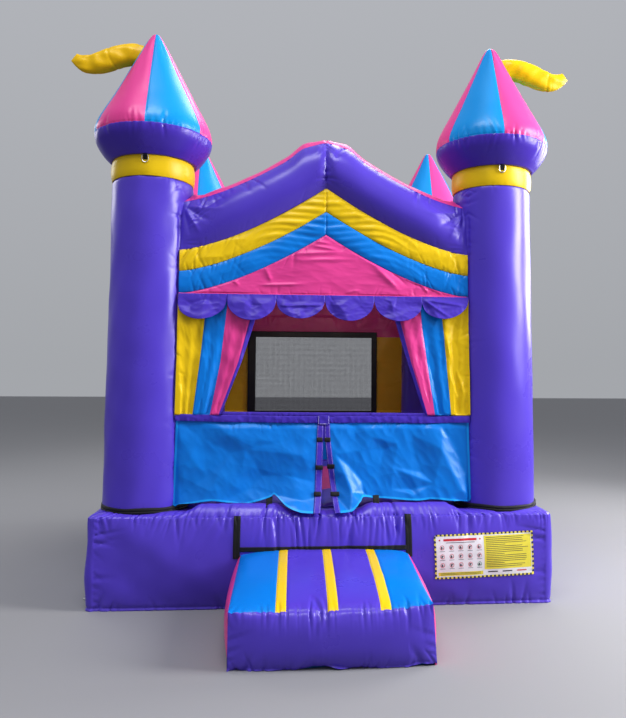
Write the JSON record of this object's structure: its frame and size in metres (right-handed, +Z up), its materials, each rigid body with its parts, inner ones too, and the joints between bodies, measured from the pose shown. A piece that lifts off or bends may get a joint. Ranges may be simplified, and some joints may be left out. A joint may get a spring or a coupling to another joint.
{
  "type": "inflatable bounce house",
  "caption": "Square castle-style inflatable bounce house: air mattress, corner towers with onion domes and pennants, ogee arches, mesh windows, curtained slit entry, ramp and blower.",
  "frame": {"origin": "centre of the mattress's underside, on the ground", "axes": "+Z up, -Y towards the front with the ramp and entry, +X to the right as seen from the front"},
  "size_m": [4.29, 5.8563, 4.69],
  "materials": {
    "purple_vinyl": "satin",
    "yellow_vinyl": "satin",
    "blue_vinyl": "satin",
    "pink_vinyl": "satin",
    "black_mesh": "matte",
    "black_webbing": "matte",
    "steel_wire": "satin",
    "fan_plastic": "satin",
    "black_plastic": "satin",
    "grey_paint": "satin",
    "label_vinyl": "satin"
  },
  "bodies": {
    "house": {"anchor_tab_back_left": "black_webbing", "anchor_tab_back_right": "black_webbing", "anchor_tab_front_left": "black_webbing", "anchor_tab_front_right": "black_webbing", "back_arch_beam": "purple_vinyl", "back_gable_panel": "pink_vinyl", "back_wall_panel": "yellow_vinyl", "back_window_mesh": "black_mesh", "base_mattress": "purple_vinyl", "blower_casing": "fan_plastic", "blower_inlet_grille": "grey_paint", "blower_motor": "grey_paint", "bounce_floor": "pink_vinyl", "collar_back_left": "yellow_vinyl", "collar_back_right": "yellow_vinyl", "collar_front_left": "yellow_vinyl", "collar_front_right": "yellow_vinyl", "column_back_left": "purple_vinyl", "column_back_right": "purple_vinyl", "column_front_left": "purple_vinyl", "column_front_right": "purple_vinyl", "curtain_left": "pink_vinyl", "curtain_right": "pink_vinyl", "dome_back_left": "purple_vinyl", "dome_back_right": "purple_vinyl", "dome_front_left": "purple_vinyl", "dome_front_right": "purple_vinyl", "entry_flap_left": "blue_vinyl", "entry_flap_right": "blue_vinyl", "entry_ramp": "purple_vinyl", "front_arch_beam": "purple_vinyl", "front_window_mesh": "black_mesh", "gable_blue_band": "blue_vinyl", "gable_pink_panel": "pink_vinyl", "gable_yellow_band": "yellow_vinyl", "inflation_sleeve": "purple_vinyl", "left_beam": "purple_vinyl", "left_wall_panel": "blue_vinyl", "left_window_mesh": "black_mesh", "pennant_left": "yellow_vinyl", "pennant_right": "yellow_vinyl", "right_beam": "purple_vinyl", "right_wall_panel": "blue_vinyl", "right_window_mesh": "black_mesh", "roof_panel": "pink_vinyl", "sill_band": "purple_vinyl"},
    "valance": {"valance": "purple_vinyl"},
    "entry_corner_left": {"entry_corner_left": "blue_vinyl"},
    "entry_corner_right": {"entry_corner_right": "blue_vinyl"},
    "blower_impeller": {"blower_impeller": "black_plastic"},
    "blower_switch": {"blower_switch": "black_plastic"},
    "vent_flap": {"vent_flap": "purple_vinyl"},
    "tower_ring_front_left": {"tower_ring_front_left": "steel_wire"},
    "anchor_ring_front_left": {"anchor_ring_front_left": "steel_wire"},
    "tower_ring_front_right": {"tower_ring_front_right": "steel_wire"},
    "anchor_ring_front_right": {"anchor_ring_front_right": "steel_wire"},
    "tower_ring_back_left": {"tower_ring_back_left": "steel_wire"},
    "anchor_ring_back_left": {"anchor_ring_back_left": "steel_wire"},
    "tower_ring_back_right": {"tower_ring_back_right": "steel_wire"},
    "anchor_ring_back_right": {"anchor_ring_back_right": "steel_wire"}
  },
  "joints": [
    {"name": "valance_swing", "type": "hinge", "parent": "house", "child": "valance", "pos_m": [0, -1.7, 2.468], "axis": [-1, 0, 0], "range_deg": [0, 75]},
    {"name": "entry_fold_left", "type": "hinge", "parent": "house", "child": "entry_corner_left", "pos_m": [-0.012, -1.66, 1.3], "axis": [-0.6173, 0, -0.7867], "range_deg": [-50, 120]},
    {"name": "entry_fold_right", "type": "hinge", "parent": "house", "child": "entry_corner_right", "pos_m": [0.032, -1.66, 1.3], "axis": [-0.6078, 0, 0.7941], "range_deg": [-50, 120]},
    {"name": "tower_ring_swing_front_left", "type": "hinge", "parent": "house", "child": "tower_ring_front_left", "pos_m": [-1.45, -1.796, 3.555], "axis": [-1, 0, 0], "range_deg": [0, 110]},
    {"name": "tower_ring_swing_front_right", "type": "hinge", "parent": "house", "child": "tower_ring_front_right", "pos_m": [1.45, -1.796, 3.555], "axis": [-1, 0, 0], "range_deg": [0, 110]},
    {"name": "tower_ring_swing_back_left", "type": "hinge", "parent": "house", "child": "tower_ring_back_left", "pos_m": [-1.45, 1.796, 3.555], "axis": [1, 0, 0], "range_deg": [0, 110]},
    {"name": "tower_ring_swing_back_right", "type": "hinge", "parent": "house", "child": "tower_ring_back_right", "pos_m": [1.45, 1.796, 3.555], "axis": [1, 0, 0], "range_deg": [0, 110]},
    {"name": "anchor_ring_lift_front_left", "type": "hinge", "parent": "house", "child": "anchor_ring_front_left", "pos_m": [-1.8653, -1.52, 0.0105], "axis": [0, 1, 0], "range_deg": [0, 110]},
    {"name": "anchor_ring_lift_front_right", "type": "hinge", "parent": "house", "child": "anchor_ring_front_right", "pos_m": [1.8653, -1.52, 0.0105], "axis": [0, -1, 0], "range_deg": [0, 110]},
    {"name": "anchor_ring_lift_back_left", "type": "hinge", "parent": "house", "child": "anchor_ring_back_left", "pos_m": [-1.8653, 1.52, 0.0105], "axis": [0, 1, 0], "range_deg": [0, 110]},
    {"name": "anchor_ring_lift_back_right", "type": "hinge", "parent": "house", "child": "anchor_ring_back_right", "pos_m": [1.8653, 1.52, 0.0105], "axis": [0, -1, 0], "range_deg": [0, 110]},
    {"name": "impeller_spin", "type": "hinge", "parent": "house", "child": "blower_impeller", "pos_m": [0.75, 2.66, 0.25], "axis": [1, 0, 0], "continuous": true},
    {"name": "switch_rock", "type": "hinge", "parent": "house", "child": "blower_switch", "pos_m": [0.75, 2.66, 0.494], "axis": [1, 0, 0], "range_deg": [0, 20]},
    {"name": "vent_flap_lift", "type": "hinge", "parent": "house", "child": "vent_flap", "pos_m": [-0.9, 1.8383, 0.49], "axis": [1, 0, 0], "range_deg": [0, 110]}
  ]
}
